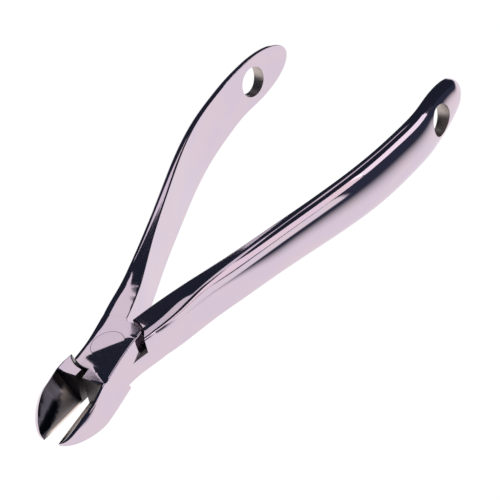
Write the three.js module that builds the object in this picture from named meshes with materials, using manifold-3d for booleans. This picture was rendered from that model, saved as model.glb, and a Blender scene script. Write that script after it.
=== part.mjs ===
// A lap-joint nail nipper: two mirrored levers that cross at a flush rivet.
// Millimetres, +Z up. The origin is the middle of the rivet's lower head, which is flush with the
// back of the joint. +X runs along the centre line to the handles and +Z along the rivet.
import * as THREE from "three";
import { mergeVertices } from "three/addons/utils/BufferGeometryUtils.js";
import Module from "manifold-3d";

// Joint
const JOINT_THICK = 7.1;
const LAP_GAP = 0.06; // running gap between the two halves of the lap
const DISC_RADIUS = 7.5; // the round half of each lever that turns in the other's shoulder
const SHOULDER_GAP = 0.45;
const JOINT_HALF_WIDTH = 6.45; // at the middle of the side wall
const SIDE_CROWN = 1.25; // how far the side walls bulge past their top and bottom edges
const REST_HALF_OPENING = THREE.MathUtils.degToRad(5.2);

// Rivet
const RIVET_HEAD_DIAMETER = 7.5;
const RIVET_SHANK_DIAMETER = 4.6;
const RIVET_HEAD_LAND = 0.9; // straight part of the head, before its taper
const RIVET_TAPER = 1.2;
const RIVET_CLEARANCE = 0.05;

// Jaw
const JAW_LENGTH = 23.1; // rivet axis to tip
const HEEL_WALL = 1.8; // what is left between the shoulder and the wall of the hollow
const JAW_HALF_WIDTH = 7.3;
const TIP_CURVE = 8.4; // length of the outside's curve to the tip
const TIP_CURVE_POWER = 1.6; // 2 would make it an ellipse's quarter, and less is more pointed
const EDGE_HEIGHT = 0.5; // cutting edge above the back of the jaw
const EDGE_SET_BACK = 0.02; // each closed edge stops this far from the centre line
const RIM_WIDTH = 0.6;
const RIM_FALL_EARLY = 0.45; // share of the rim's fall that is a straight slope
const RIM_LEVEL = 0.8; // how far the rim runs level past the heel before it falls to the tip
const WALL_SLOPE = 0.2; // how far the wall leans to the tip, for each millimetre of depth
const WALL_SWEEP = 0.12; // how far it leans to the tip, for each millimetre towards the rim
const WALL_RUN = 2.4; // the hollow's wall blends into its length within this distance
// Where the ground curve bends, as shares of its width and its rise.
const HOLLOW_BEND = { out: 0.62, up: 0.26 };
const HOLLOW_LEAST = 0.5; // the hollow is never narrower than this share of the jaw
const TIP_WIDTH = 0.12;

// Handle
const HANDLE_LENGTH = 104; // rivet axis to the rounded end
const ROOT_REACH = 0.3; // from the shoulder to where the inner faces part
const ROOT_SET_BACK = 0.05; // each closed handle's root stops this far from the centre line
const ROOT_THICK = 7.9;
const PAD_LENGTH = 16; // the last stretch, whose inner face is one flat pad
const PAD_OFFSET = 17.7; // inner face to the centre line, at the start of the pad
const PAD_SLOPE = -0.18;
const PAD_THICK = 3.3;
const PAD_HEIGHT = 12.1;
const END_ROUND = 14; // length of the rounded end, seen square to the pad
const END_ROUND_POWER = 2.1;
const END_DOME = 4; // length over which the outer face curls in to the end
const END_DOME_LEAST = 0.3; // share of the depth that is left at the very end
const HOLE_DIAMETER = 7.6;
const HOLE_FROM_END = 12.8;

// How the closed handle changes from its root to its pad, as shares of that change. at is the
// place along the stretch, out the inner face's way from the centre line, thin and tall the
// section's way to the pad's depth and height, and land the part of its depth that is flat on top.
const BOW = [
  { at: 0.147, out: 0.193, thin: 0.284, tall: 0.2, land: 0.68 },
  { at: 0.285, out: 0.415, thin: 0.632, tall: 0.45, land: 0.5 },
  { at: 0.461, out: 0.664, thin: 0.875, tall: 0.757, land: 0.32 },
  { at: 0.624, out: 0.875, thin: 0.995, tall: 0.984, land: 0.2 },
  { at: 0.774, out: 1.001, thin: 1.02, tall: 1.07, land: 0.14 },
  { at: 0.887, out: 1.027, thin: 1.02, tall: 1.07, land: 0.12 },
];

const HALF_THICK = JOINT_THICK / 2;
const SHOULDER_RADIUS = DISC_RADIUS + SHOULDER_GAP;
const HEEL = SHOULDER_RADIUS + HEEL_WALL; // rivet axis to the wall of the hollow
const JAW_SHOULDER = JAW_LENGTH - TIP_CURVE;
const RIM_FALL_START = HEEL + RIM_LEVEL;
const EDGE_Z = EDGE_HEIGHT - HALF_THICK;
const HANDLE_ROOT = SHOULDER_RADIUS + ROOT_REACH;
const PAD_START = HANDLE_LENGTH - PAD_LENGTH;
const PAD_HALF = PAD_HEIGHT / 2;
const JOINT_LAND = 1 - SIDE_CROWN / JOINT_HALF_WIDTH;
const ROUND_SIDES = 64;
const FLANK_STEPS = 8;
const FLANK_FULLNESS = 0.55; // power of the bulge's sine on a fully round flank; 1 is a plain sine
const PAST = 1; // how far a cutter runs past the face that it cuts, or a join into its neighbour

// The closed handle in plan and in height. inner is the flat inner face, thick the depth to the
// bulging outer face, half the half height, and land the share of thick that is flat on top.
const mix = (from, to, share) => from + (to - from) * share;
const HANDLE_STATIONS = [
  { x: -DISC_RADIUS, inner: 0, thick: JOINT_HALF_WIDTH, half: HALF_THICK, land: JOINT_LAND },
  { x: 0, inner: 0, thick: JOINT_HALF_WIDTH, half: HALF_THICK, land: JOINT_LAND },
  { x: HANDLE_ROOT, inner: ROOT_SET_BACK, thick: ROOT_THICK, half: HALF_THICK, land: 0.82 },
  ...BOW.map(({ at, out, thin, tall, land }) => ({
    x: mix(HANDLE_ROOT, PAD_START, at),
    inner: mix(ROOT_SET_BACK, PAD_OFFSET, out),
    thick: mix(ROOT_THICK, PAD_THICK, thin),
    half: mix(HALF_THICK, PAD_HALF, tall),
    land,
  })),
  { x: PAD_START, inner: PAD_OFFSET, thick: PAD_THICK, half: PAD_HALF, land: 0.12 },
  { x: HANDLE_LENGTH, inner: PAD_OFFSET + PAD_SLOPE * PAD_LENGTH, thick: PAD_THICK,
    half: PAD_HALF, land: 0.12 },
];

const wasm = await Module();
wasm.setup();

const steel = new THREE.MeshStandardMaterial({ color: 0xcfc8ce, roughness: 0.08, metalness: 1 });
const rivetSteel = new THREE.MeshStandardMaterial({ color: 0xb9b6bd, roughness: 0.12, metalness: 1 });

// A smooth value of one field along the handle: a cubic with limited slopes between stations. The
// last stretch, the pad, is straight.
function handleValue(field, x) {
  const rows = HANDLE_STATIONS;
  const last = rows.length - 2;
  const slope = (i) => (rows[i + 1][field] - rows[i][field]) / (rows[i + 1].x - rows[i].x);
  const tangent = (i) => {
    if (i === 0 || i >= last) return slope(Math.min(i, last));
    const before = slope(i - 1);
    const after = slope(i);
    return before * after <= 0 ? 0 : (2 * before * after) / (before + after);
  };
  const passed = rows.filter((row) => row.x <= x).length - 1;
  const k = Math.min(last, Math.max(0, passed));
  const stretch = rows[k + 1].x - rows[k].x;
  const u = (x - rows[k].x) / stretch;
  const rise = u * u * (3 - 2 * u);
  return (
    rows[k][field] * (1 - rise) +
    rows[k + 1][field] * rise +
    stretch * (tangent(k) * u * (1 - u) ** 2 - tangent(k + 1) * u * u * (1 - u))
  );
}

// A closed body through rings of equal length. Each ring turns anticlockwise seen from +X, and the
// rings run towards +X. mirrored gives the same body on the other side of the centre plane.
function loft(rings, mirrored) {
  const side = mirrored ? -1 : 1;
  const count = rings[0].length;
  const points = rings.flat().map(([x, y, z]) => new THREE.Vector3(x, side * y, z));
  const faces = [];
  for (let r = 0; r + 1 < rings.length; r++) {
    for (let i = 0; i < count; i++) {
      const a = r * count + i;
      const b = r * count + ((i + 1) % count);
      faces.push([a, b, b + count], [a, b + count, a + count]);
    }
  }
  const end = (rings.length - 1) * count;
  for (let i = 1; i + 1 < count; i++) {
    faces.push([0, i + 1, i], [end, end + i, end + i + 1]);
  }
  const geometry = new THREE.BufferGeometry().setFromPoints(points);
  geometry.setIndex((mirrored ? faces.map(([a, b, c]) => [a, c, b]) : faces).flat());
  return geometry;
}

function solid(geometry) {
  const bare = geometry.clone();
  bare.deleteAttribute("normal");
  bare.deleteAttribute("uv");
  const merged = mergeVertices(bare, 1e-4);
  return new wasm.Manifold(
    new wasm.Mesh({
      numProp: 3,
      vertProperties: merged.attributes.position.array,
      triVerts: new Uint32Array(merged.index.array),
    }),
  );
}

function geometryOf(body) {
  const { vertProperties, triVerts } = body.getMesh();
  const geometry = new THREE.BufferGeometry();
  geometry.setAttribute("position", new THREE.BufferAttribute(vertProperties, 3));
  geometry.setIndex(new THREE.BufferAttribute(triVerts, 1));
  return geometry;
}

// A round bar along Z between two heights.
function bar(radius, low, high) {
  const geometry = new THREE.CylinderGeometry(radius, radius, high - low, ROUND_SIDES);
  return geometry.rotateX(Math.PI / 2).translate(0, 0, (low + high) / 2);
}

function span(from, to, steps) {
  return Array.from({ length: steps + 1 }, (_, i) => from + ((to - from) * i) / steps);
}

// The D section of the handle: flat inner face, a flat land on top and below, bulging outside.
function handleRing(x, half) {
  const inner = handleValue("inner", x);
  const dome = Math.max(0, 1 - (HANDLE_LENGTH - x) / END_DOME);
  const thick = handleValue("thick", x) * mix(END_DOME_LEAST, 1, Math.sqrt(1 - dome ** 2));
  const land = handleValue("land", x);
  const power = mix(FLANK_FULLNESS, 1, land);
  const flank = span(0, Math.PI, FLANK_STEPS).map((turn) => [
    x,
    inner + thick * (land + (1 - land) * Math.sin(turn) ** power),
    -half * Math.cos(turn),
  ]);
  return [[x, inner, -half], ...flank, [x, inner, half]];
}

function handleHalf(x) {
  const full = handleValue("half", x);
  const u = Math.max(0, (x - (HANDLE_LENGTH - END_ROUND)) / END_ROUND);
  return full * (1 - Math.min(u, 0.999) ** END_ROUND_POWER) ** (1 / END_ROUND_POWER);
}

function handleBody(from, mirrored) {
  const straight = span(from, HANDLE_LENGTH - END_ROUND, 30);
  const rounded = span(0, Math.PI / 2, 10).slice(1);
  const rounding = rounded.map((turn) => HANDLE_LENGTH - END_ROUND * (1 - Math.sin(turn)));
  return loft([...straight, ...rounding].map((x) => handleRing(x, handleHalf(x))), mirrored);
}

// The outside of the jaw in plan, and the height of its rim, at a distance from the rivet axis.
function jawWidth(reach) {
  const u = Math.max(0, (reach - JAW_SHOULDER) / (JAW_LENGTH - JAW_SHOULDER));
  const swell = Math.min(1, Math.max(0, reach) / JAW_SHOULDER);
  const wide = JOINT_HALF_WIDTH + (JAW_HALF_WIDTH - JOINT_HALF_WIDTH) * swell;
  return TIP_WIDTH + (wide - TIP_WIDTH) * Math.sqrt(Math.max(0, 1 - u ** TIP_CURVE_POWER));
}

function jawCrown(reach) {
  return SIDE_CROWN * Math.min(1, jawWidth(reach) / JOINT_HALF_WIDTH);
}

function rimZ(reach) {
  const u = Math.max(0, (reach - RIM_FALL_START) / (JAW_LENGTH - RIM_FALL_START));
  const fall = RIM_FALL_EARLY * u + (1 - RIM_FALL_EARLY) * u ** 4;
  return HALF_THICK - (HALF_THICK - EDGE_Z - TIP_WIDTH) * fall;
}

// The jaw lies on the far side of the centre plane from its own handle. inner is its inner face.
function jawRing(reach, inner) {
  const width = jawWidth(reach);
  const top = rimZ(reach);
  const low = -HALF_THICK;
  const crown = jawCrown(reach);
  const flank = span(0, Math.PI, FLANK_STEPS).map((turn) => [
    -reach,
    crown * (1 - Math.sin(turn)) - width,
    (top + low) / 2 + ((top - low) / 2) * Math.cos(turn),
  ]);
  return [[-reach, inner, top], ...flank, [-reach, inner, low]];
}

function jawBody(toReach, inner, mirrored) {
  const curved = span(Math.PI / 2, 0, 16).slice(0, -1);
  const tipward = curved.map((turn) => JAW_SHOULDER + (JAW_LENGTH - JAW_SHOULDER) * Math.sin(turn));
  const rootward = span(JAW_SHOULDER, toReach, 12);
  return loft([...tipward, ...rootward].map((reach) => jawRing(reach, inner)), mirrored);
}

// What the grinding wheel takes out above the cutting edge: a hollow between edge and rim.
function hollowRing(reach, leaning) {
  const full = jawWidth(reach);
  const width = Math.max(full - jawCrown(reach) - RIM_WIDTH, HOLLOW_LEAST * full);
  const top = rimZ(reach);
  const rise = top - EDGE_Z;
  const curve = new THREE.QuadraticBezierCurve(
    new THREE.Vector2(-width, top),
    new THREE.Vector2(-HOLLOW_BEND.out * width, EDGE_Z + HOLLOW_BEND.up * rise),
    new THREE.Vector2(0, EDGE_Z),
  );
  const ground = curve.getPoints(10).map((p) => [p.x, p.y]);
  const outline = [[PAST, HALF_THICK + PAST], [-width, HALF_THICK + PAST], ...ground, [PAST, EDGE_Z]];
  return outline.map(([y, z]) => {
    const lean = leaning ? WALL_SLOPE * Math.max(0, HALF_THICK - z) + WALL_SWEEP * Math.abs(y) : 0;
    return [-reach - lean, y, z];
  });
}

function hollowBody(mirrored) {
  const clearOfWall = HEEL + WALL_RUN;
  const tipward = span(JAW_LENGTH, clearOfWall, 14).map((reach) => hollowRing(reach, false));
  const past = hollowRing(JAW_LENGTH, false).map(([x, y, z]) => [x - PAST, y, z]);
  return loft([past, ...tipward, hollowRing(HEEL, true)], mirrored);
}

// The rivet: a head on each face, joined by tapers to a thinner shank. grow enlarges it all round.
function rivetBody(grow) {
  const head = RIVET_HEAD_DIAMETER / 2 + grow;
  const shank = RIVET_SHANK_DIAMETER / 2 + grow;
  const face = HALF_THICK + (grow > 0 ? PAST : 0);
  const profile = [
    [0, -face],
    [head, -face],
    [head, RIVET_HEAD_LAND - HALF_THICK + grow],
    [shank, RIVET_HEAD_LAND + RIVET_TAPER - HALF_THICK + grow],
    [shank, HALF_THICK - RIVET_HEAD_LAND - RIVET_TAPER - grow],
    [head, HALF_THICK - RIVET_HEAD_LAND - grow],
    [head, face],
    [0, face],
  ].map(([r, z]) => new THREE.Vector2(r, z));
  return new THREE.LatheGeometry(profile, ROUND_SIDES).rotateX(Math.PI / 2);
}

// The hanging hole runs square to the flat pad.
function hangingHole(mirrored) {
  const side = mirrored ? -1 : 1;
  const x = HANDLE_LENGTH - HOLE_FROM_END;
  const y = side * (PAD_OFFSET + PAD_SLOPE * (x - PAD_START));
  const geometry = new THREE.CylinderGeometry(HOLE_DIAMETER / 2, HOLE_DIAMETER / 2, 20, ROUND_SIDES / 2);
  return geometry.rotateZ(side * Math.atan(PAD_SLOPE)).translate(x, y, 0);
}

// One lever, closed. layer is +1 for the lever whose half of the lap is on top.
function leverBody(layer) {
  const mirrored = layer < 0;
  const blank = (past, inner) =>
    solid(handleBody(-past, mirrored)).add(solid(jawBody(-past, inner, mirrored)));
  const disc = blank(DISC_RADIUS, PAST).intersect(
    solid(bar(DISC_RADIUS, -HALF_THICK - PAST, HALF_THICK + PAST)),
  );
  const far = -layer * (HALF_THICK + PAST);
  const lap = (layer * LAP_GAP) / 2;
  const socket = bar(SHOULDER_RADIUS, Math.min(far, lap), Math.max(far, lap));
  return blank(0, -EDGE_SET_BACK)
    .add(disc)
    .subtract(solid(socket))
    .subtract(solid(hollowBody(mirrored)))
    .subtract(solid(rivetBody(RIVET_CLEARANCE)))
    .subtract(solid(hangingHole(mirrored)));
}

function leverMesh(name, layer) {
  const mesh = new THREE.Mesh(geometryOf(leverBody(layer)), steel);
  mesh.name = name;
  mesh.rotation.z = layer * REST_HALF_OPENING;
  return mesh;
}

const rivet = new THREE.Mesh(rivetBody(0), rivetSteel);
rivet.name = "pivot_rivet";

const nipper = new THREE.Group();
nipper.position.z = HALF_THICK;
nipper.add(leverMesh("upper_lever", 1), leverMesh("lower_lever", -1), rivet);

export default nipper;
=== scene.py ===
# %% [markdown]
# # A lap-joint nail nipper in polished steel
# The finished tool is three pieces: two forged levers that cross at a half-lap joint, and the
# rivet that holds them. The engineering model already fixes every size, axis and joint, so this
# lesson builds a fine skin on that frame: a smooth mesh for each piece, and steel in its polished,
# ground, turned and bored finishes.

import math

import bmesh
import bpy
import numpy as np
from mathutils import Matrix, Vector


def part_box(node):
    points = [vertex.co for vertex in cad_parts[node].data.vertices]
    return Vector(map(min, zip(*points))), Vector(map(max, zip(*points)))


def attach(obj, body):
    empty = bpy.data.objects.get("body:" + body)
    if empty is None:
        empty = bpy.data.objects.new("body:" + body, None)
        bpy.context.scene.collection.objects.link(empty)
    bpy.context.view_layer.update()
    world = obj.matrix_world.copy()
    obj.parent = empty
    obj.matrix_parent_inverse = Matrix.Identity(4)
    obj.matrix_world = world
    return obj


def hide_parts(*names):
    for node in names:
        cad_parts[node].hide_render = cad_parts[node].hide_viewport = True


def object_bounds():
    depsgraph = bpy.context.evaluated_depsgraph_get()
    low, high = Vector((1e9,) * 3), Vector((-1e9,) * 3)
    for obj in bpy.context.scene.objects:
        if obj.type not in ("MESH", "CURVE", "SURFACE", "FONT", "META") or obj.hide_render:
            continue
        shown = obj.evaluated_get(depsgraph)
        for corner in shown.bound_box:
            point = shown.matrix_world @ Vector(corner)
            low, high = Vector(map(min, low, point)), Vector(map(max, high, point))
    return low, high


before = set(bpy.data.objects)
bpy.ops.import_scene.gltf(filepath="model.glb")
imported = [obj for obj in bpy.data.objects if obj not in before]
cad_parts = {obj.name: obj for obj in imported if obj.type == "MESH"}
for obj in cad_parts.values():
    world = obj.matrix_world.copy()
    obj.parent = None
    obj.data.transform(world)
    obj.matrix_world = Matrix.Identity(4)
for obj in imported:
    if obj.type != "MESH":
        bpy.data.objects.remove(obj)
cad_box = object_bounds()
MM = 0.001
joint_back, joint_top = (corner.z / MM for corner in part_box("pivot_rivet"))
HALF_THICK = (joint_top - joint_back) / 2
MID_HEIGHT = (joint_top + joint_back) / 2

# %% [markdown]
# ## Sizes
# The levers are drawn closed, in millimetres, with the rivet's axis at the origin and the middle
# of the joint's thickness at height zero. The drawn lever has its handle towards +x and +y, and
# its jaw towards -x. Each finished lever is turned open by half of the rest angle. Keeping the
# closed drawing makes the two levers mirror images, as they are when forged.

# %% Sizes that several steps share
DISC_RADIUS = 7.5  # the round of the joint
SHOULDER_RADIUS = 7.95  # the socket that the other lever's round turns in
ROOT_X = SHOULDER_RADIUS  # where the handle starts, and the jaw on the other side
RIVET_RADIUS = 3.75
JAW_LENGTH = 23.1
EDGE_HEIGHT = 0.5  # the cutting edge above the joint's back
EDGE_Z = EDGE_HEIGHT - HALF_THICK
HANDLE_LENGTH = 104.0
END_ROUND = 14.0  # how much of the handle its rounded end takes up
print("closed length:", HANDLE_LENGTH + JAW_LENGTH, "mm")

# %% [markdown]
# ## The handle's flowing shape
# A nipper's handle leaves the joint as a square bar and turns into a thin, tall D. Its forger
# thinks in a few stations and lets the metal flow between them. A clamped cubic spline does the
# same: it passes through each station with continuous curvature, which matters here because a
# mirror finish shows every sudden change of bend as a kink in its reflections.

# %% A spline through stations
def spline(knots, values, first_slope=0, last_slope=0):
    """A function through the knots with continuous curvature and the given end slopes."""
    x, y = np.array(knots, float), np.array(values, float)
    gap = np.diff(x)
    count = len(x)
    system, right = np.zeros((count, count)), np.zeros(count)
    system[0, 0] = system[-1, -1] = 1.0
    right[0], right[-1] = first_slope, last_slope
    for i in range(1, count - 1):
        system[i, i - 1 : i + 2] = gap[i], 2 * (gap[i - 1] + gap[i]), gap[i - 1]
        rise_before, rise_after = (y[i] - y[i - 1]) / gap[i - 1], (y[i + 1] - y[i]) / gap[i]
        right[i] = 3 * (gap[i] * rise_before + gap[i - 1] * rise_after)
    slope = np.linalg.solve(system, right)

    def value(at):
        if at >= x[-1]:
            return y[-1] + last_slope * (at - x[-1])
        if at <= x[0]:
            return y[0] + first_slope * (at - x[0])
        k = int(np.searchsorted(x, at, side="right")) - 1
        u = (at - x[k]) / gap[k]
        ease = u * u * (3 - 2 * u)
        bend = slope[k] * u * (1 - u) ** 2 - slope[k + 1] * u * u * (1 - u)
        return float(y[k] * (1 - ease) + y[k + 1] * ease + gap[k] * bend)

    return value


print("a straight line stays straight:", round(spline([0, 1, 2], [0, 1, 2], 1, 1)(1.5), 6))

# %% Where the handle lies and how deep it is
PAD_START = 88.0  # from here on the inner face is flat, for the thumb
PAD_OFFSET = 17.7
PAD_SLOPE = -0.18
HOLE_X = 91.2

inner_face = spline(
    [ROOT_X, 20, 31, 45, 58, 70, 79, PAD_START],
    [0.05, 3.43, 7.37, 11.77, 15.5, 17.72, 18.18, PAD_OFFSET],
    first_slope=0.2,
    last_slope=PAD_SLOPE,
)
depth = spline(
    [-8, 0, ROOT_X, 20, 31, 45, 58, 70, PAD_START],
    [6.5, 6.5, 7.9, 6.6, 5.0, 3.88, 3.35, 3.2, 3.3],
)
print("inner face at the hanging hole:", round(inner_face(HOLE_X), 2), "mm from the centre line")

# %% How tall the handle is and how round its outer side
half_height = spline(
    [-8, 0, ROOT_X, 14, 20, 31, 45, 58, 70, PAD_START],
    [3.55, 3.55, 3.56, 3.62, 3.95, 4.7, 5.48, 6.06, 6.27, 6.05],
)
lower_half_height = spline(
    [-8, 4, 9, 20, 31, 45, 58, 70, PAD_START],
    [3.55, 3.55, 3.64, 4.2, 4.76, 5.48, 6.06, 6.27, 6.05],
)
# The land is the flat share of the top. Draft is 1 where the outer side leans like a plain
# forging and 0 where it is a full D.
land = spline(
    [-8, 0, ROOT_X, 20, 31, 45, 58, 70, PAD_START],
    [0.81, 0.81, 0.82, 0.7, 0.5, 0.32, 0.2, 0.14, 0.12],
)
draft = spline([0, ROOT_X, 20, 31, 45, 58, 70], [1, 0.98, 0.8, 0.5, 0.15, 0.0, 0.0])
print("handle height at the pad:", round(2 * half_height(PAD_START), 2), "mm")

# %% [markdown]
# ## One cross-section
# Every ring of the lever has a top, an outer side, a bottom and an inner side, with four rolled
# corners between them. Rolling the corners here, in the section, gives true rounded edges that
# catch a line of light all along the lever. A bevel added later would fight the many thin faces
# of a swept body.

# %% Ring helpers
TOP_POINTS, SIDE_POINTS, CORNER_POINTS = 18, 22, 6
MOST_TRIM = 0.45  # a rolled corner takes no more than this share of a short edge


def line(start, end, count=60):
    share = np.linspace(0, 1, count)[:, None]
    return np.array(start, float) * (1 - share) + np.array(end, float) * share


def resample(points, cut_start, cut_end, count):
    """count points evenly along a line of points, after cutting a length off both of its ends."""
    points = np.array(points, float)
    steps = np.linalg.norm(np.diff(points, axis=0), axis=1)
    along = np.concatenate([[0], np.cumsum(steps)])
    most = MOST_TRIM * along[-1]
    at = np.linspace(min(cut_start, most), along[-1] - min(cut_end, most), count)
    return np.stack([np.interp(at, along, points[:, k]) for k in (0, 1)], axis=1)


def rolled_ring(edges, radii, counts):
    """A closed ring from edges that meet at corners, each corner rolled by its own radius."""
    trimmed = [resample(e, radii[i - 1], radii[i], counts[i]) for i, e in enumerate(edges)]
    ring = []
    for i, edge in enumerate(trimmed):
        corner = np.array(edges[i][-1], float)
        after = trimmed[(i + 1) % len(trimmed)][0]
        ring.extend(edge)
        for step in range(1, CORNER_POINTS + 1):
            t = step / (CORNER_POINTS + 1)
            ring.append((1 - t) ** 2 * edge[-1] + 2 * t * (1 - t) * corner + t * t * after)
    return np.array(ring)


print("points in every ring:", 2 * TOP_POINTS + 2 * SIDE_POINTS + 4 * CORNER_POINTS)

# %% [markdown]
# ## The jaw's outline
# Seen from above, the outside of the jaw runs almost straight past the joint and then curves in
# to the tip. Its rim starts level with the joint and falls towards the tip, slowly at first. On
# the lower lever the rim has been polished to a chamfer, which shows as a light line around the
# hollow. Formulas of the reach, the distance from the rivet, keep all of these in step.

# %% Jaw outline, rim height and chamfer
JAW_WIDTH = 7.3
TIP_CURVE = 8.4  # length of the curve that brings the outside in to the tip
TIP_POWER = 1.6
TIP_WIDTH = 0.12
JAW_SHOULDER = JAW_LENGTH - TIP_CURVE
SIDE_DRAFT = 1.25
RIM_FALL_START = SHOULDER_RADIUS + 2.6
CHAMFER_START, CHAMFER_FULL = 6.5, 14.5
CHAMFER_TAPER_WIDTH = 5  # the chamfer, 1 mm wide, narrows where the jaw is slimmer than this


def smooth(low, high, value):
    """Rises smoothly from 0 at low to 1 at high."""
    share = min(1.0, max(0.0, (value - low) / (high - low)))
    return share * share * (3 - 2 * share)


def jaw_width(reach):
    curve = max(0.0, (reach - JAW_SHOULDER) / TIP_CURVE)
    wide = depth(0) + (JAW_WIDTH - depth(0)) * smooth(0, JAW_SHOULDER, reach)
    return TIP_WIDTH + (wide - TIP_WIDTH) * math.sqrt(max(0.0, 1 - curve**TIP_POWER))


def jaw_draft(reach):
    return SIDE_DRAFT * min(1.0, jaw_width(reach) / depth(0))


def rim_chamfer(reach, layer):
    """Width of the rim's chamfer. The layer is 1 for the upper lever and -1 for the lower one."""
    if layer > 0:
        return 0.0
    narrowed = min(1.0, jaw_width(reach) / CHAMFER_TAPER_WIDTH)
    return smooth(CHAMFER_START, CHAMFER_FULL, reach) * narrowed


def rim_height(reach):
    u = max(0.0, (reach - RIM_FALL_START) / (JAW_LENGTH - RIM_FALL_START))
    return HALF_THICK - (HALF_THICK - EDGE_Z - TIP_WIDTH) * (0.45 * u + 0.55 * u**4)


print("rim height at the tip:", round(rim_height(JAW_LENGTH) - EDGE_Z, 2), "mm above the edge")

# %% [markdown]
# ## Polishing wear
# The top of the joint is flat when it leaves the milling machine. Felt wheels then take a few
# hundredths of a millimetre off, more at its borders than in the middle. The eye can't see such a
# slope, but a mirror doubles every angle, so the wear decides which part of the top shows a lamp
# and which part shows the dark room. It is modelled as a drop in height over the plan of the
# closed lever, because a bump map of that size would not reach the silhouette or the rivet.

# %% Wear of the joint's top
ROUND_OFF = 0.09  # mm of drop per square mm beyond the flat middle, towards the handle's side
POOL_SLOPE = 0.038  # tilt of the two facets that form the dark pool beside the rivet
FRONT_TILT = 0.018  # tilt in front of the pool
FRONT_BORDER, BORDER_BLEND = -6.0, 0.9


def pool_depth(x, y):
    """Two facets, one beside and one behind the rivet, that meet the flat in a soft bend."""
    beside = -0.24 - 0.64 * x - 0.77 * y
    behind = (0.62 * (x - 3) - 2.8 - y) * smooth(2, 4, x)
    past = max(0.0, beside, behind)
    return POOL_SLOPE * (past - 0.5) if past > 1 else POOL_SLOPE / 2 * past * past


def joint_wear(x, y, layer):
    drop = ROUND_OFF * max(0.0, y - (4.0 + 1.2 * smooth(4, 14, x))) ** 2
    if layer > 0:
        border = FRONT_BORDER + 0.577 * y
        inside = smooth(border - BORDER_BLEND, border + BORDER_BLEND, x)
        drop += inside * pool_depth(x, y) + (1 - inside) * FRONT_TILT * max(0.0, 3.4 - y)
    return drop * (1 - smooth(12, 24, x))


print("pool depth 5 mm beside the rivet's axis:", round(pool_depth(0, -5), 3), "mm")

# %% Wear of the handles' tops
UPPER_TILT, LOWER_TILT = 0.03, 0.025
TILTED_WIDTH = 7
PAD_TILT = 1.4  # how much steeper the lower handle's top is on the way to its pad


def handle_wear(x, y, layer):
    across = max(0.0, y - inner_face(max(x, ROOT_X)))
    if layer > 0:
        tilt = UPPER_TILT * max(0.0, TILTED_WIDTH - across) * smooth(14, 19, x)
    else:
        by_the_root = smooth(5, 9, x) * (1 - smooth(28, 36, x))
        tilt = LOWER_TILT * across * (by_the_root + PAD_TILT * smooth(56, 64, x))
    return tilt * (1 - smooth(84, 94, x))


def top_wear(x, y, layer):
    """How far polishing has lowered the top at a point of a closed lever."""
    return joint_wear(x, y, layer) + handle_wear(x, y, layer)


print("wear at the upper handle's root:", round(top_wear(20, 5, 1), 3), "mm")

# %% [markdown]
# ## The sides of a section
# A forged side leans, so that it leaves the die. Near the joint the lean is plain, and along the
# handle it swells into the round back of the D that fills the palm. One formula blends the two by
# their share, where separate profiles would have to be matched at a seam.

# %% Outer sides
SIDE_BULGE = 0.12
END_DOME = 4.0  # length over which the end's thickness is domed
END_THIN = 0.25  # share of the thickness that is left at the very end
CHAMFER_DROP = 1.15  # height of the chamfer, as a share of its width
LEAST_CHAMFER = 0.02


def outer_side(edge, reach_out, low, high, flat_share, power):
    """An outer side from the top down: drafted near the joint, bulging further on."""
    turns = np.linspace(0, math.pi, 90)
    bulge = np.sin(turns) ** power
    drafted = (1 - np.cos(turns)) / 2 * (1 - SIDE_BULGE) + SIDE_BULGE * np.sin(turns)
    out = edge + reach_out * ((1 - flat_share) * bulge + flat_share * drafted)
    height = (high + low) / 2 + (high - low) / 2 * np.cos(turns)
    return np.stack([out, height], axis=1)


def handle_side(x, inner, low, top):
    """The outer side on the handle's side of the centre line, from the top down."""
    dome = max(0.0, 1 - (HANDLE_LENGTH - x) / END_DOME)
    thick = depth(x) * (END_THIN + (1 - END_THIN) * math.sqrt(1 - dome**2))
    share = land(x)
    power = 0.62 + 0.38 * max(share, 0.25 * smooth(20, 60, x))
    edge = inner + thick * share
    return outer_side(edge, thick * (1 - share), low, top, draft(max(x, 0)), power)


def jaw_side(reach, low, top, chamfer):
    """The outer side on the jaw's side of the centre line, from the bottom up."""
    lean = jaw_draft(reach)
    side = outer_side(jaw_width(reach) - lean, lean, low, top, 1.0, 1.0)[::-1]
    side[:, 0] *= -1
    if chamfer > LEAST_CHAMFER:
        kept = side[side[:, 1] < top - CHAMFER_DROP * chamfer]
        side = np.vstack([kept, line(kept[-1], (side[-1][0] + chamfer, top), 20)])
    return side


print("jaw width 12 mm from the rivet:", round(jaw_width(12), 2), "mm")

# %% [markdown]
# ## The section of one lever
# At the joint a section is full width on both sides of the centre line. In the jaw its left side
# is the inner one, and along the handle its right side is. The wear lowers the top, and the sides
# shrink with it so that the ring stays closed. The corners are rolled more towards the pads,
# where the hand rests, and hardly at all along the cutting edge.

# %% Section at any place of the lever
END_POWER = 2.1  # an ellipse would be 2
EDGE_SET_BACK = 0.02
EDGE_ROLL = 0.02
FULLY_ROLLED_X = 60


def section_heights(x, in_jaw, layer):
    """Bottom and top of the section at x, before the top is worn."""
    if in_jaw:
        return -HALF_THICK, rim_height(-x)
    full = lower_half_height(x) if layer < 0 and x > 0 else half_height(max(x, 0))
    rounding = min(0.9995, max(0.0, (x - (HANDLE_LENGTH - END_ROUND)) / END_ROUND))
    half = full * (1 - rounding**END_POWER) ** (1 / END_POWER)
    return -half, half


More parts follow.
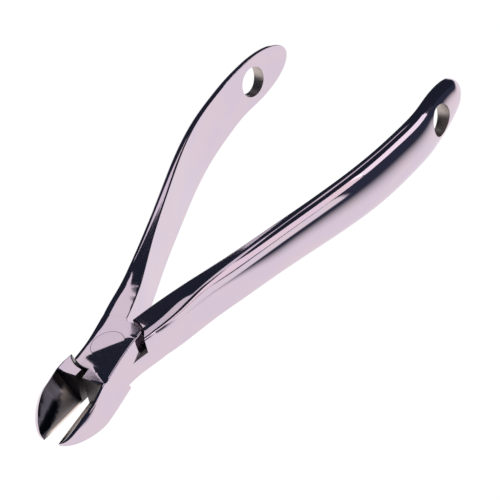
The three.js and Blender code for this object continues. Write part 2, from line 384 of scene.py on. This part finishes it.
def corner_rolls(x, right_is_inner, left_is_inner):
    """Radii of the corners at the top left, bottom left, bottom right and top right."""
    soft = min(1.0, max(0.0, x / FULLY_ROLLED_X))
    outer_roll, inner_roll = 0.28 + 0.5 * soft, 0.16 + 0.3 * soft
    left = EDGE_ROLL if left_is_inner else outer_roll
    right = inner_roll if right_is_inner else outer_roll
    return [left, left, right, right]


def lever_ring(x, right_is_inner, left_is_inner, layer):
    """The section at x of a closed lever. Points run from the top right, leftwards."""
    low, top = section_heights(x, left_is_inner, layer)
    inner = inner_face(x) if right_is_inner else inner_face(ROOT_X) * smooth(0, ROOT_X, x)
    if left_is_inner:
        left = line((-EDGE_SET_BACK, top), (-EDGE_SET_BACK, low))
    else:
        left = handle_side(x, inner, low, top)
    if right_is_inner:
        right = line((inner, low), (inner, top))
    else:
        right = jaw_side(-x, low, top, rim_chamfer(-x, layer) if left_is_inner else 0.0)
    upper, lower = line(right[-1], left[0]), line(left[-1], right[0])
    upper[:, 1] -= [top_wear(x, y, layer) for y in upper[:, 0]]
    drops = (left[0][1] - upper[-1][1], right[-1][1] - upper[0][1])
    for side, drop in zip((left, right), drops):
        side[:, 1] -= drop * np.clip((side[:, 1] - low) / (top - low), 0, 1)
    radii = corner_rolls(x, right_is_inner, left_is_inner)
    return rolled_ring([upper, left, lower, right], radii, [TOP_POINTS, SIDE_POINTS] * 2)


print("section at the joint, in mm:", np.ptp(lever_ring(0, False, False, 1), axis=0).round(2))

# %% [markdown]
# ## One lever's blank
# The blank is a single sweep from the jaw's tip to the handle's end. It steps to one side only at
# the shoulders: to the jaw's side in front, and to the handle's side behind. One continuous sweep
# keeps the joint's worn top free of seams, where joining a separate jaw and handle would leave a
# line. Rings stand closer together where the outline curves.

# %% Rings along the lever
STEP = 0.02  # between the last ring of one zone and the first ring of the next
SPLIT_X = ROOT_X - 0.03  # where the sweep changes from a full joint section to one side only


def lever_stations():
    """(x, right side is inner, left side is inner) for every ring, from the tip to the end."""
    curve = np.sin(np.linspace(math.pi / 2, 0, 34))[:-1]
    jaw = [-(JAW_SHOULDER + TIP_CURVE * c) for c in curve]
    jaw += list(np.linspace(-JAW_SHOULDER, -SPLIT_X - STEP, 18))
    joint = list(np.linspace(-SPLIT_X, SPLIT_X - STEP, 48))
    bar = list(np.linspace(SPLIT_X, HANDLE_LENGTH - END_ROUND, 120))
    quarter = np.linspace(0, math.pi / 2, 34)[1:]
    end = [HANDLE_LENGTH - END_ROUND * (1 - math.sin(t)) for t in quarter]
    stations = [(x, False, True) for x in jaw]
    stations += [(x, False, False) for x in joint]
    return stations + [(x, True, False) for x in bar + end]


print("rings in the sweep:", len(lever_stations()))

# %% Swept bodies
def mesh_object(name, vertices, faces):
    """A linked mesh object whose faces all point outwards."""
    data = bpy.data.meshes.new(name)
    data.from_pydata([tuple(v) for v in vertices], [], faces)
    work = bmesh.new()
    work.from_mesh(data)
    bmesh.ops.recalc_face_normals(work, faces=work.faces)
    work.to_mesh(data)
    work.free()
    piece = bpy.data.objects.new(name, data)
    bpy.context.scene.collection.objects.link(piece)
    return piece


def swept(name, rings):
    """A closed body through rings of equal length, each a list of (x, y, z)."""
    count = len(rings[0])
    last = (len(rings) - 1) * count
    faces = []
    for r in range(0, last, count):
        for i in range(count):
            j = (i + 1) % count
            faces.append((r + i, r + count + i, r + count + j, r + j))
    faces.append(tuple(range(count)))
    faces.append(tuple(reversed(range(last, last + count))))
    return mesh_object(name, np.concatenate(rings), faces)


def lever_blank(name, layer):
    rings = []
    for x, right_is_inner, left_is_inner in lever_stations():
        ring = lever_ring(x, right_is_inner, left_is_inner, layer)
        rings.append(np.column_stack([np.full(len(ring), x), ring]))
    print(name, "is swept through", len(rings), "rings of", len(rings[0]), "points")
    return swept(name, rings)


# %% [markdown]
# ## Turned and straight cutters
# The rest of the lever's shape is taken away, as in the workshop: the corners beside the round of
# the joint, the socket for the other lever, the hollow above the cutting edge, the rivet's hole
# and the hanging hole. The cutters beside the joint's round and the lower lever's socket flare by
# a tenth of a millimetre at the top, so that the edges they leave are broken, as a file would
# leave them. Sculpting these forms directly would be quicker, but only true circles give the
# joint's clean round lines.

# %% Turned cutters
ROUND_STEPS = 128


def circle(radius, height):
    angles = np.linspace(0, 2 * math.pi, ROUND_STEPS, endpoint=False)
    flat = np.full(ROUND_STEPS, height)
    return np.column_stack([radius * np.cos(angles), radius * np.sin(angles), flat])


def turned(name, profile):
    """A body turned about the z axis from (radius, height) points that start and end on it."""
    rings = [circle(radius, height) for radius, height in profile[1:-1]]
    vertices = list(np.concatenate(rings)) + [(0, 0, profile[0][1]), (0, 0, profile[-1][1])]
    start, end = len(vertices) - 2, len(vertices) - 1
    last = (len(rings) - 1) * ROUND_STEPS
    faces = []
    for i in range(ROUND_STEPS):
        j = (i + 1) % ROUND_STEPS
        faces += [(start, j, i), (end, last + i, last + j)]
        for r in range(0, last, ROUND_STEPS):
            faces.append((r + i, r + j, r + ROUND_STEPS + j, r + ROUND_STEPS + i))
    return mesh_object(name, vertices, faces)


print("the joint's round in steps of", round(2 * math.pi * DISC_RADIUS / ROUND_STEPS, 2), "mm")

# %% Straight cutters beside the round
CROWN = 0.16  # how far below the joint's top its borders may lie
FLARE = 0.1
OVERCUT = 0.3  # how far a flare runs on above the metal
BRIM = HALF_THICK - CROWN - FLARE
CUTTER_HEIGHT = 20
CUTTER_REACH = 12.0


def corner_cutter(name, quadrant):
    """What lies beyond the joint's round: behind it and right (+1), or in front and left (-1)."""
    first = -quadrant * math.pi / 2
    angles = np.linspace(first, first + math.pi / 2, 48)
    side, far = quadrant * (ROOT_X + 0.01), -quadrant * CUTTER_REACH
    rings = []
    for height, radius in (
        (-CUTTER_HEIGHT, DISC_RADIUS),
        (BRIM, DISC_RADIUS),
        (HALF_THICK + OVERCUT, DISC_RADIUS - FLARE - OVERCUT),
    ):
        arc = [(radius * math.cos(a), radius * math.sin(a)) for a in angles]
        border = [(side, arc[-1][1]), (side, far), (arc[0][0], far)]
        rings.append(np.array([(x, y, height) for x, y in arc + border]))
    return swept(name, rings)


print("the flare starts", round(HALF_THICK - BRIM, 2), "mm below the joint's top")

# %% [markdown]
# ## The hollow above the cutting edge
# A nipper's jaw is ground hollow, so that only a thin wedge of steel stands behind the edge. A
# small wheel leaves this shape: a curve from the rim down to the edge, and a rounded wall at the
# heel. It is cut with one swept body whose section follows the jaw's outline and its rim. The last
# section leans back, which makes the heel's wall slope.

# %% Hollow cutter
HEEL = SHOULDER_RADIUS + 1.8
HEEL_RUN = 2.6  # length over which the wall at the heel starts to lean
LEAST_RIM, RIM_MARGIN = 0.45, 0.05
DISH_ACROSS, DISH_HEIGHT = 0.62, 0.26  # the curve's middle point, as shares of width and rise


def hollow_ring(reach, layer, leaning, points=26):
    rim = max(LEAST_RIM, rim_chamfer(reach, layer) + RIM_MARGIN)
    width = max(jaw_width(reach) - jaw_draft(reach) - rim, 0.5 * jaw_width(reach))
    top = rim_height(reach)
    t = np.linspace(0, 1, points)
    y = -width * (1 - t) ** 2 - 2 * DISH_ACROSS * width * t * (1 - t)
    middle = EDGE_Z + DISH_HEIGHT * (top - EDGE_Z)
    z = top * (1 - t) ** 2 + 2 * middle * t * (1 - t) + EDGE_Z * t**2
    outline = [(1.0, HALF_THICK + 1), (-width, HALF_THICK + 1), *zip(y, z), (1.0, EDGE_Z)]
    ring = []
    for across, height in outline:
        lean = 0.0
        if leaning:
            lean = 0.2 * max(0.0, HALF_THICK - height) + 0.05 * abs(across) + 0.022 * across**2
        ring.append((-reach - lean, across, height))
    return np.array(ring)


def hollow_cutter(name, layer):
    beyond_tip = np.array([-1.0, 0, 0])
    reaches = np.linspace(JAW_LENGTH, HEEL + HEEL_RUN, 60)
    rings = [hollow_ring(JAW_LENGTH, layer, False) + beyond_tip]
    rings += [hollow_ring(reach, layer, False) for reach in reaches]
    return swept(name, rings + [hollow_ring(HEEL, layer, True)])


print("hollow from", HEEL, "mm to the tip at", JAW_LENGTH, "mm")

# %% [markdown]
# ## Cutting and shading
# Blender's exact Boolean makes each cut, and the metal takes on the finish of the cutter that
# made it. Afterwards edges are marked sharp where two faces meet at an angle, and weighted normals
# keep broad faces truly flat, which a mirror finish needs far more than a painted one.

# %% Boolean and shading helpers
def apply_modifier(piece, modifier):
    with bpy.context.temp_override(object=piece, active_object=piece, selected_objects=[piece]):
        bpy.ops.object.modifier_apply(modifier=modifier.name)


def cut(piece, cutter, finish):
    """Takes the cutter's body away, gives the cut its finish, and removes the cutter."""
    cutter.data.materials.append(finish)
    modifier = piece.modifiers.new("cut", "BOOLEAN")
    modifier.operation = "DIFFERENCE"
    modifier.solver = "EXACT"
    modifier.material_mode = "TRANSFER"
    modifier.object = cutter
    apply_modifier(piece, modifier)
    measured = bmesh.new()
    measured.from_mesh(piece.data)
    print(cutter.name, "leaves", round(measured.calc_volume()), "cubic mm")
    measured.free()
    data = cutter.data
    bpy.data.objects.remove(cutter)
    bpy.data.meshes.remove(data)


def finish_shading(piece, sharp_degrees=28):
    piece.data.shade_smooth()
    piece.data.set_sharp_from_angle(angle=math.radians(sharp_degrees))
    weighted = piece.modifiers.new("weighted", "WEIGHTED_NORMAL")
    weighted.keep_sharp = True
    apply_modifier(piece, weighted)
    print(piece.name, len(piece.data.polygons), "faces")


# %% [markdown]
# ## Shader maths
# Procedural finishes are sums and products of noises and positions. A small class wraps a socket
# so that such a formula reads like one, and adds a Math node for each operation. Wiring the same
# nodes by hand would hide the formula in a list of links.

# %% A socket that can be calculated with
class Shade:
    """A value inside a node tree."""

    def __init__(self, tree, socket=None):
        self.tree, self.socket = tree, socket

    def node(self, kind, settings=None, **inputs):
        """Adds a node, sets it, fills its sockets (n0 is the first one) and returns the node."""
        made = self.tree.nodes.new(kind)
        for name, value in (settings or {}).items():
            setattr(made, name, value)
        for name, value in inputs.items():
            numbered = name[0] == "n" and name[1:].isdigit()
            socket = made.inputs[int(name[1:]) if numbered else name.replace("_", " ")]
            if isinstance(value, Shade):
                self.tree.links.new(value.socket, socket)
            else:
                socket.default_value = value
        return made

    def into(self, node, name):
        """Feeds this value to a node's socket."""
        self.tree.links.new(self.socket, node.inputs[name])

    def math(self, operation, first, second):
        made = self.node("ShaderNodeMath", {"operation": operation}, n0=first, n1=second)
        return Shade(self.tree, made.outputs[0])

    def __add__(self, other):
        return self.math("ADD", self, other)

    def __mul__(self, other):
        return self.math("MULTIPLY", self, other)

    def __sub__(self, other):
        return self.math("SUBTRACT", self, other)

    def __rsub__(self, other):
        return self.math("SUBTRACT", other, self)

    __radd__, __rmul__ = __add__, __mul__


print("a Shade can:", [name for name, item in vars(Shade).items() if callable(item)])

# %% [markdown]
# ## Building blocks of a finish
# A finish starts as bare metal with one colour and one roughness. Noise then varies it, read at
# the place on the closed lever that every point carries, so that the grain follows the handle's
# bow. Ramps, blends and a bump turn the noise into roughness, colour and relief. Image textures
# could do the same, but they need unwrapped surfaces and blur when seen close up.

# %% Bare metal and noise
def new_material(name, base, roughness):
    """A bare metal, with its node tree and its shader."""
    material = bpy.data.materials.new(name)
    material.use_nodes = True
    shader = material.node_tree.nodes["Principled BSDF"]
    shader.inputs["Base Color"].default_value = (*base, 1)
    shader.inputs["Metallic"].default_value = 1.0
    shader.inputs["Roughness"].default_value = roughness
    print("material:", name)
    return material, material.node_tree, shader


def work_position(tree, scale=(1, 1, 1)):
    """The place on the closed lever, in millimetres, stretched so that noise runs along it."""
    place = Shade(tree).node("ShaderNodeAttribute", {"attribute_name": "work"})
    here = Shade(tree, place.outputs["Vector"])
    stretched = here.node("ShaderNodeVectorMath", {"operation": "MULTIPLY"}, n0=here, n1=scale)
    return Shade(tree, stretched.outputs[0])


def noise(tree, scale, detail, rough=0.5):
    made = Shade(tree).node(
        "ShaderNodeTexNoise",
        {"noise_dimensions": "3D"},
        Vector=work_position(tree, scale),
        Scale=1.0,
        Detail=detail,
        Roughness=rough,
    )
    return Shade(tree, made.outputs["Fac"])


# %% Ramp, blend and bump
def ramp(value, low, high):
    """Rises smoothly from 0 where the value is low to 1 where it is high."""
    settings = {"interpolation_type": "SMOOTHSTEP"}
    made = value.node("ShaderNodeMapRange", settings, Value=value, From_Min=low, From_Max=high)
    return Shade(value.tree, made.outputs["Result"])


def blend(share, first, second):
    """The first colour where the share is 0 and the second where it is 1."""
    made = share.node("ShaderNodeMix", {"data_type": "RGBA"}, n0=share, n6=first, n7=second)
    return Shade(share.tree, made.outputs[2])


def add_bump(shader, height, strength, distance):
    made = height.node("ShaderNodeBump", Strength=strength, Distance=distance, Height=height)
    Shade(height.tree, made.outputs["Normal"]).into(shader, "Normal")


# %% [markdown]
# ## Polished steel
# Stainless steel is polished on felt wheels until it mirrors the room. What stays is very slight:
# hairlines along the handle, and a soft unevenness where the wheel paused. Both are kept to a few
# hundredths in roughness, and the bump to less than a thousandth of a millimetre, because more
# would turn the mirror into brushed metal. The rivet's steel comes out a shade darker.

# %% Polished steel
LEVER_COLOUR, RIVET_COLOUR = (0.68, 0.565, 0.655), (0.65, 0.545, 0.63)
WARM, COOL = (1.0, 0.99, 0.97), (0.965, 0.97, 1.0)
PAUSES, HAIRLINES, PATCHES = (0.12, 0.35, 0.35), (0.35, 9.0, 9.0), (0.1, 0.22, 0.22)


def tinted(base, tint):
    return (*(colour * share for colour, share in zip(base, tint)), 1)


def polished(name, base, roughness):
    material, tree, shader = new_material(name, base, roughness)
    pauses, hairlines = noise(tree, PAUSES, 3.0), noise(tree, HAIRLINES, 4.0, 0.7)
    (roughness - 0.04 + pauses * 0.05 + hairlines * 0.03).into(shader, "Roughness")
    patches = ramp(noise(tree, PATCHES, 2.0), 0.35, 0.65)
    blend(patches, tinted(base, WARM), tinted(base, COOL)).into(shader, "Base Color")
    add_bump(shader, hairlines, 0.03, 0.02 * MM)
    return material


steel = polished("polished_steel", LEVER_COLOUR, 0.055)
rivet_steel = polished("rivet_steel", RIVET_COLOUR, 0.06)

# %% [markdown]
# ## Turned and bored steel
# The socket of the joint and the hanging holes keep the marks of the tool that cut them. They lie
# half in the dark and are never polished, so their steel is rougher and its grain is deeper. The
# socket's steel is also coloured much darker, which is painted shade for the gaps of the joint and
# around the rivet. A stretched noise is enough here: rings drawn one by one would be finer than
# the eye can see.

# %% Turned socket and bored hole
def machined(name, base, roughness, grain, bump_strength):
    material, tree, shader = new_material(name, base, roughness)
    scratch, patch = noise(tree, grain, 6.0, 0.75), noise(tree, (0.5, 0.5, 0.5), 2.0)
    (scratch * 0.22 + patch * 0.16 + (roughness - 0.19)).into(shader, "Roughness")
    add_bump(shader, scratch, bump_strength, 0.05 * MM)
    return material


# Painted shade: the socket's dark colour stands in for the shade in the joint's gaps.
shaded_socket_steel = machined("turned_socket_and_shade", (0.34, 0.32, 0.32), 0.4, (3.0, 3.0, 0.5), 0.3)
bore_steel = machined("bored_hole", (0.55, 0.48, 0.45), 0.42, (2.0, 2.0, 6.0), 0.35)

# %% [markdown]
# ## The ground hollow
# Inside the jaw two finishes meet. Under the rim the hollow is polished, and towards the edge it
# is left as ground, in a wedge that widens from the tip to the heel. The polished part is coloured
# near black, which is painted shade for the dark room it reflects, and the wall at the heel is
# painted dark and dull, which is painted shade in that corner. The border is a line in the
# drawing's x and y with noise added, which keeps it ragged like hand grinding without a painted
# mask.

# %% Ground hollow
# Painted shade: the polished hollow's near-black colour and the dark wall at the heel.
POLISHED_HOLLOW_SHADE, GROUND_WEDGE = (0.07, 0.065, 0.08, 1), (0.82, 0.7, 0.64, 1)
HEEL_WALL_SHADE = (0.13, 0.115, 0.12, 1)
WEDGE_TIP, WEDGE_SLOPE = 21.5, 0.36
WALL_SHADE_FROM, WALL_SHADE_TO = -12.2, -11.2


def hollow_finish_and_shade():
    material, tree, shader = new_material("ground_hollow_and_shade", (0.6, 0.54, 0.56), 0.1)
    place = work_position(tree)
    split = place.node("ShaderNodeSeparateXYZ", Vector=place)
    along, across = Shade(tree, split.outputs["X"]), Shade(tree, split.outputs["Y"])
    ragged = noise(tree, (0.6, 0.6, 0.6), 3.0) * 1.2 - 0.6
    wedge = ramp((along + WEDGE_TIP) * WEDGE_SLOPE + across + ragged, -0.5, 0.5)
    scratch = noise(tree, (0.8, 7.0, 7.0), 6.0, 0.75)
    (0.09 + wedge * 0.3 + scratch * 0.08).into(shader, "Roughness")
    # near black under the rim is painted shade; the wedge is the real ground finish
    tone = blend(wedge, POLISHED_HOLLOW_SHADE, GROUND_WEDGE)
    # painted shade on the wall at the heel
    blend(ramp(along, WALL_SHADE_FROM, WALL_SHADE_TO), tone, HEEL_WALL_SHADE).into(shader, "Base Color")
    add_bump(shader, scratch, 0.2, 0.04 * MM)
    return material


hollow_steel = hollow_finish_and_shade()

# %% [markdown]
# ## The holes and the lap
# Both levers come from the same drawing and meet the same cutters. They differ only in the half
# of the lap that they keep. The upper lever keeps the top half. The lower lever keeps the bottom
# half, so its socket is open at the top and has a flared brim.

# %% Socket, rivet hole and hanging hole
LAP_GAP = 0.06
RIVET_CLEARANCE = 0.05
SHANK_RADIUS = 2.3
HEAD_DEPTH, TAPER_DEPTH = 0.9, 2.1  # below the joint's faces
HOLE_RADIUS = 3.8


def socket_cutter(name, layer):
    lap = layer * LAP_GAP / 2
    if layer > 0:
        floor = -CUTTER_HEIGHT
        profile = [(0, floor), (SHOULDER_RADIUS, floor), (SHOULDER_RADIUS, lap), (0, lap)]
    else:
        wide = SHOULDER_RADIUS + FLARE + OVERCUT
        flared = [(SHOULDER_RADIUS, BRIM), (wide, BRIM + FLARE + OVERCUT), (wide, CUTTER_HEIGHT)]
        profile = [(0, lap), (SHOULDER_RADIUS, lap), *flared, (0, CUTTER_HEIGHT)]
    return turned(name + "_socket", profile)


def rivet_hole_cutter(name):
    head, beyond = RIVET_RADIUS + RIVET_CLEARANCE, HALF_THICK + 2
    half = [
        (0, beyond),
        (head, beyond),
        (head, HALF_THICK - HEAD_DEPTH - RIVET_CLEARANCE),
        (SHANK_RADIUS + RIVET_CLEARANCE, HALF_THICK - TAPER_DEPTH - RIVET_CLEARANCE),
    ]
    return turned(name + "_rivet_hole", [(r, -height) for r, height in half] + half[::-1])


def hanging_hole_cutter(name):
    bore = turned(name + "_bore", [(0, -10), (HOLE_RADIUS, -10), (HOLE_RADIUS, 10), (0, 10)])
    on_pad = Matrix.Translation((HOLE_X, PAD_OFFSET + PAD_SLOPE * (HOLE_X - PAD_START), 0))
    square_to_pad = Matrix.Rotation(math.atan(PAD_SLOPE), 4, "Z")
    bore.data.transform(on_pad @ square_to_pad @ Matrix.Rotation(math.pi / 2, 4, "X"))
    return bore


print("gaps:", LAP_GAP, "mm in the lap and", RIVET_CLEARANCE, "mm around the rivet")

# %% [markdown]
# ## The two levers
# Each lever starts as a blank and is cut in the order of a workshop: outside, socket, hollow and
# holes. The lower lever is then mirrored across the centre line. Before a lever is turned open,
# every point stores its place on the closed drawing, so that the finishes run along the handle
# and stay with the metal at every pose.

# %% Mirroring, placing and marking out
REST_HALF_OPENING = math.radians(5.2)


def mirror_y(piece):
    for vertex in piece.data.vertices:
        vertex.co.y *= -1
    piece.data.flip_normals()


def placed(piece, angle):
    """Turns a closed piece open and moves it from its drawing, in millimetres, into the frame."""
    raised = Matrix.Translation((0, 0, MID_HEIGHT * MM))
    piece.data.transform(Matrix.Rotation(angle, 4, "Z") @ raised @ Matrix.Scale(MM, 4))


def remember_place(piece, side):
    """Stores each point's place on the closed lever, with the handle's bow taken out."""
    marks = piece.data.attributes.new("work", "FLOAT_VECTOR", "POINT")
    for vertex, mark in zip(piece.data.vertices, marks.data):
        x, y, z = vertex.co
        bow = inner_face(x) if x > ROOT_X else 0.0
        mark.vector = (x, side * y - bow, z)


def hone_jaw_face(piece):
    """The face behind the cutting edge, where the closed jaws meet, is ground like the hollow, and
    near the heel it takes the hollow's painted shade.
    """
    honed = piece.data.materials.find(hollow_steel.name)
    for face in piece.data.polygons:
        in_jaw, on_centre_line = face.center.x < -ROOT_X, abs(face.center.y) < 0.1
        if in_jaw and on_centre_line and abs(face.normal.y) > 0.5:
            face.material_index = honed


print("open at rest by", round(math.degrees(2 * REST_HALF_OPENING), 1), "degrees")

# %% Build the levers
def build_lever(name, layer):
    piece = lever_blank(name, layer)
    piece.data.materials.append(steel)
    cut(piece, corner_cutter(name + "_back_corner", 1), steel)
    cut(piece, corner_cutter(name + "_front_corner", -1), steel)
    cut(piece, socket_cutter(name, layer), shaded_socket_steel)
    cut(piece, hollow_cutter(name + "_hollow", layer), hollow_steel)
    cut(piece, rivet_hole_cutter(name), shaded_socket_steel)
    cut(piece, hanging_hole_cutter(name), bore_steel)
    hone_jaw_face(piece)
    if layer < 0:
        mirror_y(piece)
    remember_place(piece, layer)
    finish_shading(piece)
    placed(piece, layer * REST_HALF_OPENING)
    return piece


for name, layer in (("upper_lever", 1), ("lower_lever", -1)):
    piece = build_lever(name + "_polished", layer)
    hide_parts(name)
    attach(piece, name.split("_")[0])

# %% [markdown]
# ## The rivet
# The rivet is peened over and then ground and polished with the joint, so its head follows the
# joint's worn top. All that shows of it is a hairline ring and a slightly different reflection.
# It is turned like the cutters, with enough rings on its head for the wear to be pressed into it.

# %% Build the rivet
EDGE_BREAK = 0.05
HEAD_RINGS = 14

face = [(RIVET_RADIUS * k / HEAD_RINGS, HALF_THICK) for k in range(HEAD_RINGS)]
head = [
    (RIVET_RADIUS - EDGE_BREAK, HALF_THICK),
    (RIVET_RADIUS, HALF_THICK - EDGE_BREAK),
    (RIVET_RADIUS, HALF_THICK - HEAD_DEPTH),
    (SHANK_RADIUS, HALF_THICK - TAPER_DEPTH),
]
lower_head = [(radius, -height) for radius, height in reversed(head)]
rivet = turned("pivot_rivet_polished", face + head + lower_head + [(0, -HALF_THICK)])
for vertex in rivet.data.vertices:
    if vertex.co.z > HALF_THICK - 2 * EDGE_BREAK:
        vertex.co.z -= top_wear(vertex.co.x, vertex.co.y, 1)
rivet.data.materials.append(rivet_steel)
remember_place(rivet, 1)
finish_shading(rivet)
placed(rivet, 0.0)
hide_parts("pivot_rivet")
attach(rivet, "lower")

# %% [markdown]
# ## The table
# Mirror steel shows nothing but its surroundings, so the room is most of the picture. The tool
# lies on a light table that is bright all over to the eye. In reflections only the part beside
# the handles glows, and it fades out to the sides as if the rest were shaded. That part fills the
# upright faces with light and leaves dark lines where they turn away. A lamp over a matt white
# table would light the tops as well, and they have to stay nearly black.

# %% A pale table
TABLE_SIDE = 3.0
TABLE_BRIGHTNESS = 1.02
SHADED_TABLE, LIT_TABLE = (0.028, 0.036, 0.062, 1), (1, 1, 1, 1)

corners = [(-TABLE_SIDE, -TABLE_SIDE), (TABLE_SIDE, -TABLE_SIDE)]
corners += [(-x, -y) for x, y in corners]
table = mesh_object("table", [(x, y, cad_box[0].z) for x, y in corners], [(0, 1, 2, 3)])
table_material = bpy.data.materials.new("table_white")
table_material.use_nodes = True
table.data.materials.append(table_material)
table_shader = table_material.node_tree.nodes["Principled BSDF"]
table_shader.inputs["Base Color"].default_value = (0.02, 0.02, 0.02, 1)
table_shader.inputs["Roughness"].default_value = 1.0
table_shader.inputs["Specular IOR Level"].default_value = 0.0
table_shader.inputs["Emission Strength"].default_value = TABLE_BRIGHTNESS
print("table height:", round(cad_box[0].z / MM, 3), "mm")

# %% The lit part of the table, in millimetres
tree = table_material.node_tree
maker = Shade(tree)
here = Shade(tree, maker.node("ShaderNodeTexCoord").outputs["Object"])
split = here.node("ShaderNodeSeparateXYZ", Vector=here)
along, across = Shade(tree, split.outputs["X"]) * 1000, Shade(tree, split.outputs["Y"]) * 1000

# Distance beside the lower handle, whose line on the table is close to a parabola.
beside = along * along * 0.00165 - along * 0.36 - across - 7.0
by_the_joint, by_the_handle = 30, 6  # how far the light reaches there
lit_width = by_the_joint - ramp(along, 12, 40) * (by_the_joint - by_the_handle)
near_light = 1 - ramp(beside - lit_width, 0, 16)
far_light = ramp(beside, 27, 33) * (1 - ramp(along, 58, 62)) * ramp(along, 8, 20)
lit = near_light + far_light - near_light * far_light
lit_in_reflections = lit * (1 - ramp(across, 60, 120)) * (1 - ramp(along, 135, 190))
direct = Shade(tree, maker.node("ShaderNodeLightPath").outputs["Is Camera Ray"])
glow = direct.math("MAXIMUM", direct, lit_in_reflections)
blend(glow, SHADED_TABLE, LIT_TABLE).into(table_shader, "Emission Color")
print("nodes in the table's material:", len(tree.nodes))

# %% [markdown]
# ## The room
# Around the table the room is dark blue, which is what the handles' tops reflect. To the eye the
# background is as white as the table, so that the tool stands free. Both are one world shader
# that asks whether a ray comes straight from the camera.

# %% Dark room with a white backdrop
DARK_ROOM = (0.017, 0.022, 0.036, 1)

world = bpy.data.worlds.new("room")
bpy.context.scene.world = world
world.use_nodes = True
room = Shade(world.node_tree)
backdrop = room.node("ShaderNodeBackground", Color=(1, 1, 1, 1), Strength=TABLE_BRIGHTNESS)
dark = room.node("ShaderNodeBackground", Color=DARK_ROOM, Strength=1.0)
ray = room.node("ShaderNodeLightPath")
mixed = room.node(
    "ShaderNodeMixShader",
    n0=Shade(world.node_tree, ray.outputs["Is Camera Ray"]),
    n1=Shade(world.node_tree, dark.outputs[0]),
    n2=Shade(world.node_tree, backdrop.outputs[0]),
)
Shade(world.node_tree, mixed.outputs[0]).into(world.node_tree.nodes["World Output"], "Surface")
print("world:", world.name)

# %% [markdown]
# ## Soft boxes
# A few soft boxes draw what is bright on top of the tool. A small one stands where the joint's
# flat top reflects it to the camera. Two large ones give the bands along the lower handle, and a
# high one lights the jaws and the handle's root. Each is placed by the angle at which the tool
# sees it, because in a mirror only that angle and the box's apparent size count.

# %% Four soft boxes
BOX_DISTANCE = 1.6
aim = Vector((38.1, -9.8, 3.4)) * MM  # the middle of the tool


def soft_box(name, azimuth, elevation, wide, high, brightness, colour=(1, 0.97, 0.99)):
    """A soft box seen from the tool at these angles, in degrees, and as wide and high as given."""
    a, e = math.radians(azimuth), math.radians(elevation)
    towards = Vector((math.cos(e) * math.cos(a), math.cos(e) * math.sin(a), math.sin(e)))
    data = bpy.data.lights.new(name, "AREA")
    data.shape = "RECTANGLE"
    half_angles = [math.radians(angle / 2) for angle in (wide, high)]
    data.size, data.size_y = (2 * BOX_DISTANCE * math.tan(half) for half in half_angles)
    data.energy, data.color = brightness * math.pi * data.size * data.size_y, colour
    light = bpy.data.objects.new(name, data)
    light.location = aim + towards * BOX_DISTANCE
    light.rotation_euler = towards.to_track_quat("Z", "Y").to_euler()
    bpy.context.scene.collection.objects.link(light)
    print(name, round(data.size, 2), "by", round(data.size_y, 2), "m")


soft_box("joint_box", 55.2, 38.9, 7.6, 7.2, 0.92)
soft_box("near_band_box", -92, 18, 26, 34, 1.12, (1, 0.91, 0.9))
soft_box("far_band_box", -61.5, 14.5, 35, 27, 1.3)
soft_box("jaw_box", 12, 68, 34, 24, 0.8)

# %% [markdown]
# ## The camera
# A long lens looks down at the tool from the side of the jaws, and is rolled so that the handles
# rise to the upper right. Its direction is worked out from three angles, which are easier to
# adjust one at a time than a rotation with three mixed axes.

# %% Camera
LOOK_AZIMUTH, LOOK_ELEVATION, ROLL = (math.radians(v) for v in (47.69, -38.78, -19.47))
DISTANCE = 0.4429
LENS, SENSOR = 146.26, 36.0

level = math.cos(LOOK_ELEVATION)
forward = Vector(
    (level * math.cos(LOOK_AZIMUTH), level * math.sin(LOOK_AZIMUTH), math.sin(LOOK_ELEVATION))
)
level_right = forward.cross(Vector((0, 0, 1))).normalized()
level_up = level_right.cross(forward)
right = level_right * math.cos(ROLL) + level_up * math.sin(ROLL)
up = right.cross(forward)
camera_data = bpy.data.cameras.new("camera")
camera_data.lens, camera_data.sensor_width = LENS, SENSOR
camera_data.clip_start = 0.01
camera = bpy.data.objects.new("camera", camera_data)
turn = Matrix((right, up, -forward)).transposed().to_4x4()
camera.matrix_world = Matrix.Translation(aim - forward * DISTANCE) @ turn
bpy.context.scene.collection.objects.link(camera)
bpy.context.scene.camera = camera
bpy.context.scene.view_settings.view_transform = "Standard"
print("field of view:", round(math.degrees(camera_data.angle), 2), "degrees")

# %% [markdown]
# ## The skin's size
# The skin has to fill the same box as the engineering model, or the joint's axis and the mounts
# would no longer fit it.
